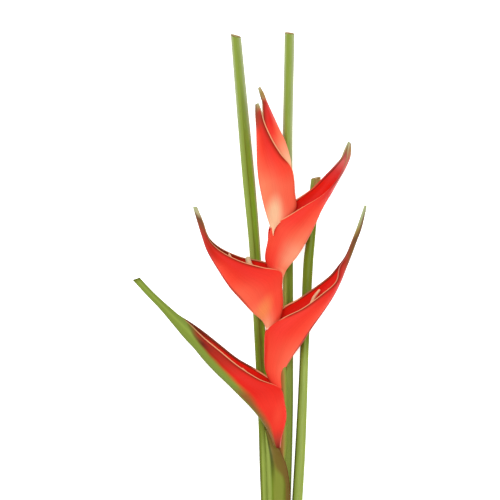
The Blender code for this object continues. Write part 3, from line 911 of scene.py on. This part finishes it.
def add_object(name, data):
    thing = bpy.data.objects.new(name, data)
    bpy.context.scene.collection.objects.link(thing)
    return thing


def start_column(edge, column, count):
    """The column that an edge of the loop starts from, counted round the loop."""
    a, b = sorted(v[column] for v in edge.verts)
    return b if b - a == count - 1 else a


def vertex_order(part):
    """A number that puts an edge or a face in its place by its lowest and highest vertex."""
    numbers = [vertex.index for vertex in part.verts]
    return min(numbers) * MOST_VERTICES + max(numbers)


def loft(name, rows, layers, materials, strip_caps=False):
    """A closed skin over rows of (point, values) pairs, each row a loop. The values go into the
    named layers for the materials to read. Ends are filled flat, as cut faces with the second
    material, or with strip_caps by joining the two halves of the loop, as on a folded wall. An
    extrusion lists what it makes in no fixed order, so edges and faces are put in order."""
    shape = bmesh.new()
    column = shape.verts.layers.int.new("column")
    for layer in layers:
        shape.verts.layers.float.new(layer)
    values = [shape.verts.layers.float[layer] for layer in layers]
    count = len(rows[0])
    loop = [shape.verts.new() for _ in range(count)]
    for i, vertex in enumerate(loop):
        vertex[column] = i
    first = [shape.edges.new((loop[i], loop[(i + 1) % count])) for i in range(count)]
    edges = first
    fresh = loop
    for row in rows:
        if row is not rows[0]:
            grown = bmesh.ops.extrude_edge_only(shape, edges=edges)["geom"]
            fresh = {v for v in grown if isinstance(v, bmesh.types.BMVert)}
            edges = [e for e in grown if isinstance(e, bmesh.types.BMEdge)]
            edges = [e for e in edges if fresh.issuperset(e.verts)]
        for vertex in fresh:
            vertex.co, numbers = row[vertex[column]]
            for layer, number in zip(values, numbers):
                vertex[layer] = number
    for end in (first, edges):
        if strip_caps:
            sides = {count // 2 - 1, count - 1}
            chains = [e for e in end if start_column(e, column, count) not in sides]
            bmesh.ops.bridge_loops(shape, edges=chains)
        else:
            cap = bmesh.ops.contextual_create(shape, geom=end)["faces"]
            if len(materials) > 1:
                inset = {"thickness": CUT_RIND, "depth": -CUT_RECESS}
                rind = bmesh.ops.inset_region(shape, faces=cap, **inset)["faces"]
                for face in cap + rind:
                    face.material_index = 1
    bmesh.ops.recalc_face_normals(shape, faces=shape.faces)
    bmesh.ops.scale(shape, vec=(MM, MM, MM), verts=shape.verts)
    bmesh.ops.translate(shape, vec=-FOOTPRINT_MIDDLE * MM, verts=shape.verts)
    shape.verts.layers.int.remove(column)
    shape.verts.index_update()
    shape.edges.sort(key=vertex_order)
    shape.faces.sort(key=vertex_order)
    mesh = bpy.data.meshes.new(name)
    shape.to_mesh(mesh)
    shape.free()
    mesh.shade_smooth()
    mesh.set_sharp_from_angle(angle=math.radians(SHARP_ANGLE))
    for material in materials:
        mesh.materials.append(material)
    return add_object(name, mesh)


def settle(piece, node):
    """The piece rides on the part's body in place of a node, whose own mesh is hidden."""
    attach(piece, "root")
    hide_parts(node)


def wall_points(keel, margin, z, depth, gape, side):
    """One wall of a bract in section, from its margin to its keel: each point, how far across it
    is, and its distance from the margin."""
    start = math.radians(gape)
    points = []
    edge = 0.0
    for i in range(WALL_COLUMNS + 1):
        turn = start + (math.pi - start) * i / WALL_COLUMNS
        across = (math.cos(start) - math.cos(turn)) / (math.cos(start) + 1.0)
        sharpness = KEEL_SHARPNESS if turn > math.pi / 2 else MARGIN_SHARPNESS
        height = math.copysign(abs(math.sin(turn)) ** sharpness, math.sin(turn)) * depth
        point = Vector((*margin.lerp(keel, across), z + side * height))
        if points:
            edge += (point - points[-1][0]).length
        points.append((point, across, edge))
    return points


def rim_points(outer, inner, gape):
    """The rounded rim of a wall, from its outside to its inside: each point, and how far
    inwards it is. outer and inner are the wall's faces, as wall_points gives them."""
    start, second, end = outer[0][0], outer[1][0], inner[0][0]
    bulge = (start - second).normalized() * (end - start).length * math.sin(math.radians(gape)) / 2
    points = []
    for i in range(1, RIM_COLUMNS + 1):
        turn = math.pi * i / (RIM_COLUMNS + 1)
        inwards = (1.0 - math.cos(turn)) / 2
        points.append((start.lerp(end, inwards) + bulge * math.sin(turn), inwards))
    return points


def bract_section(station, along):
    """The loop round a bract's folded wall: its outside from the near margin by the keel to the
    far margin, over the far rim, back along its inside, and over the near rim."""
    keel, near, far = (Vector(station[i:i + 2]) for i in (0, 2, 4))
    lift, depth, near_gape, far_gape = station[6:]
    z = FLOWER_PLANE + lift
    wall = min(BRACT_WALL + (BRACT_TIP_WALL - BRACT_WALL) * along, depth / 2)
    across = keel - (near + far) / 2
    inward = -across.normalized() * min(wall * KEEL_WALL_RATIO, across.length * KEEL_WALL_SHARE)
    faces = {}
    for margin, gape, side in ((near, near_gape, 1), (far, far_gape, -1)):
        step = (keel - margin).normalized() * wall * math.cos(math.radians(gape))
        faces[side, 0] = wall_points(keel, margin, z, depth, gape, side)
        faces[side, 1] = wall_points(keel + inward, margin + step, z, depth - wall, gape, side)
    skins = (
        [(p, a, 0.0, e, 0.0) for p, a, e in faces[1, 0]],
        [(p, a, 0.0, e, 1.0) for p, a, e in faces[-1, 0][-2::-1]],
        [(p, 0.0, i, 0.0, 1.0) for p, i in rim_points(faces[-1, 0], faces[-1, 1], far_gape)],
        [(p, a, 1.0, e, 1.0) for p, a, e in faces[-1, 1]],
        [(p, a, 1.0, e, 0.0) for p, a, e in faces[1, 1][-2::-1]],
        [(p, 0.0, i, 0.0, 0.0) for p, i in rim_points(faces[1, 0], faces[1, 1], near_gape)[::-1]],
    )
    return [(p, (along, *numbers)) for skin in skins for p, *numbers in skin]


def make_bract(name, look):
    flat = [(*s[0], *s[1], *s[2], *s[3:]) for s in look.stations]
    rows = smooth_through(flat, BRACT_ROWS, straight=2)
    last = len(rows) - 1
    sections = [bract_section(row, i / last) for i, row in enumerate(rows)]
    finish = make_bract_finish(f"{name} skin", look)
    layers = ("along", "across", "lining", "edge", "far")
    piece = loft(f"{name}_fine", sections, layers, [finish], strip_caps=True)
    settle(piece, name)


def stalk_section(station, from_cut):
    """The loop round a leaf stalk: round and finely ribbed, flattened where it lies on the
    floor, with a shallow channel along its upper right side."""
    left_y, left_x, right_y, right_x = station
    middle = Vector(((left_x + right_x) / 2, (left_y + right_y) / 2))
    half = Vector((right_x - left_x, right_y - left_y)) / 2
    channel_ends = []
    for angle in (CHANNEL_START, CHANNEL_END):
        turn = math.radians(angle)
        channel_ends.append(Vector((math.cos(turn), math.sin(turn))))
    loop = []
    for i in range(STALK_SIDES):
        angle = CHANNEL_END + 360.0 * i / STALK_SIDES
        turn = math.radians(angle)
        place = Vector((math.cos(turn), math.sin(turn)))
        beyond = (angle - 360.0 - CHANNEL_START) / (CHANNEL_END - CHANNEL_START)
        if beyond > 0:
            sag = CHANNEL_DEPTH / (STALK_HEIGHT / 2) * math.sin(math.pi * beyond)
            chord = channel_ends[0].lerp(channel_ends[1], beyond)
            place = place.lerp(chord, CHANNEL_FLATNESS) - chord.normalized() * sag
        face = (place.x + 1.0) / 2
        place *= 1.0 - RIB_HEIGHT / (STALK_HEIGHT / 2) * (1.0 - math.cos(RIB_COUNT * turn)) / 2
        height = max((STALK_HEIGHT + STALK_FLAT) / 2 * (1 + place.y) - STALK_FLAT, 0.0)
        point = Vector((*(middle + half * place.x), height))
        if from_cut == 0:
            point.y -= CUT_SLANT * height / STALK_HEIGHT
        loop.append((point, (face, from_cut)))
    return loop


def make_stalk(name, stations, finish, cut):
    rows = smooth_through(stations, STALK_ROWS)
    top = rows[-1][0] + rows[-1][2]
    sections = [stalk_section(row, (top - row[0] - row[2]) / 2) for row in rows]
    piece = loft(f"{name}_fine", sections, ("face", "from_cut"), [finish, cut])
    settle(piece, name)


def sheath_section(station):
    """The loop round the sheath's wall: its upper side out to the free edge, and back below."""
    y = station[0]
    ends = [station[i:i + 2] for i in range(1, len(station), 2)]
    line = [Vector(point) for point in smooth_through(ends, SHEATH_COLUMNS)]
    last = len(line) - 1
    upper, lower = [], []
    for i, point in enumerate(line):
        along = (line[min(i + 1, last)] - line[max(i - 1, 0)]).normalized()
        across = Vector((-along.y, along.x)) * SHEATH_WALL / 2
        upper.append((Vector((point.x + across.x, y, point.y + across.y)), (i / last,)))
        lower.append((Vector((point.x - across.x, y, point.y - across.y)), (i / last,)))
    return upper + lower[::-1]


def make_sheath(finish):
    flat = [(s[0], *(value for point in s[1:] for value in point)) for s in SHEATH]
    sections = [sheath_section(row) for row in smooth_through(flat, SHEATH_ROWS)]
    piece = loft("sheath_fine", sections, ("across",), [finish], strip_caps=True)
    settle(piece, "left_stalk")


def round_sections(stations, sides, rows_between, level_start=False, dome=False):
    """Loops round a stem along its middle line, its radius from the stations. level_start cuts its
    lower end square to the y axis, and dome rounds its other end."""
    rows = smooth_through(stations, rows_between)
    if dome:
        end, before = Vector(rows[-1][:3]), Vector(rows[-2][:3])
        ahead = (end - before).normalized()
        radius = rows[-1][3]
        for turn in map(math.radians, DOME_TURNS):
            rows.append([*(end + ahead * radius * math.sin(turn)), radius * math.cos(turn)])
    centres = [Vector((row[0], row[1], FLOWER_PLANE + row[2])) for row in rows]
    last = len(rows) - 1
    sections = []
    for i, row in enumerate(rows):
        ahead = (centres[min(i + 1, last)] - centres[max(i - 1, 0)]).normalized()
        if level_start and i == 0:
            ahead = Vector((0, 1, 0))
        side = ahead.cross(Vector((0, 0, 1))).normalized()
        up = side.cross(ahead)
        loop = []
        for k in range(sides):
            turn = math.tau * k / sides
            point = centres[i] + (side * math.cos(turn) + up * math.sin(turn)) * row[3]
            loop.append((point, (i / last, abs(k / sides * 2.0 - 1.0))))
        sections.append(loop)
    return sections


def make_flower_stem(finish, cut):
    sections = round_sections(FLOWER_STEM, STEM_SIDES, STEM_ROWS, level_start=True)
    piece = loft("flower_stem_fine", sections, ("along", "around"), [finish, cut])
    settle(piece, "flower_stem")


def make_floret(number, line, finish):
    sections = round_sections(line, FLORET_SIDES, FLORET_ROWS, dome=True)
    piece = loft(f"floret_{number}_fine", sections, ("along", "around"), [finish])
    settle(piece, f"floret_{number}")


def make_floor():
    """A plain white floor that glows a little, so that only the softest shadows show on it."""
    paint = Paint("floor", roughness=0.8, specular=0.0)
    paint.finish(FLOOR_WHITE)
    paint.shader.inputs["Emission Color"].default_value = WHITE
    paint.shader.inputs["Emission Strength"].default_value = FLOOR_GLOW
    shape = bmesh.new()
    bmesh.ops.create_grid(shape, x_segments=1, y_segments=1, size=FLOOR_REACH)
    mesh = bpy.data.meshes.new("floor")
    shape.to_mesh(mesh)
    shape.free()
    mesh.materials.append(paint.material)
    floor = add_object("floor", mesh)


def make_light(name, place, level):
    """A soft square light that shines at the middle of the object. level is how much it gives a
    surface there that faces it, where 1 is the light of a full-strength white world."""
    lamp = bpy.data.lights.new(name, "AREA")
    lamp.size = LAMP_SIZE
    lamp.energy = level * math.pi ** 2 * Vector(place).length_squared
    light = add_object(name, lamp)
    light.location = place
    light.rotation_euler = (-Vector(place)).to_track_quat("-Z", "Y").to_euler()


def make_world(brightness):
    world = bpy.data.worlds.new("studio")
    world.use_nodes = True
    background = world.node_tree.nodes["Background"]
    background.inputs["Color"].default_value = WHITE
    background.inputs["Strength"].default_value = brightness
    bpy.context.scene.world = world


def make_camera():
    """Looks straight down from far above, so that the picture has next to no perspective."""
    lens = bpy.data.cameras.new("camera")
    lens.sensor_width = SENSOR_WIDTH
    lens.lens = SENSOR_WIDTH * (CAMERA_HEIGHT - FLOWER_PLANE) / PICTURE_WIDTH
    lens.clip_end = CAMERA_REACH
    camera = add_object("camera", lens)
    camera.location = in_frame(*PICTURE_MIDDLE, CAMERA_HEIGHT)
    bpy.context.scene.camera = camera


make_camera()
make_world(brightness=0.9)
make_light("overhead light", place=(-0.4, 0.5, 2.4), level=0.5)
make_light("side light", place=(1.6, -0.6, 1.6), level=0.15)
make_floor()
bpy.context.scene.view_settings.view_transform = "Standard"

for number, look in enumerate(BRACT_LOOKS, start=1):
    make_bract(f"bract_{number}", look)
cut_face = make_cut_finish("cut face")
for side, stations, stretches in (
    ("left", LEFT_STALK, LEFT_STALK_STRETCHES),
    ("middle", MIDDLE_STALK, MIDDLE_STALK_STRETCHES),
    ("right", RIGHT_STALK, RIGHT_STALK_STRETCHES),
):
    skin = make_stalk_finish(f"{side} stalk skin", stretches)
    make_stalk(f"{side}_stalk", stations, skin, cut_face)
make_sheath(make_sheath_finish("sheath skin"))
make_flower_stem(make_stem_finish("flower stem skin"), cut_face)
floret_skin = make_floret_finish("floret skin", CREAM)
faded_skin = make_floret_finish("faded floret skin", STRAW)
for number, line in enumerate(FLORETS, start=1):
    make_floret(number, line, faded_skin if number == FADED_FLORET else floret_skin)
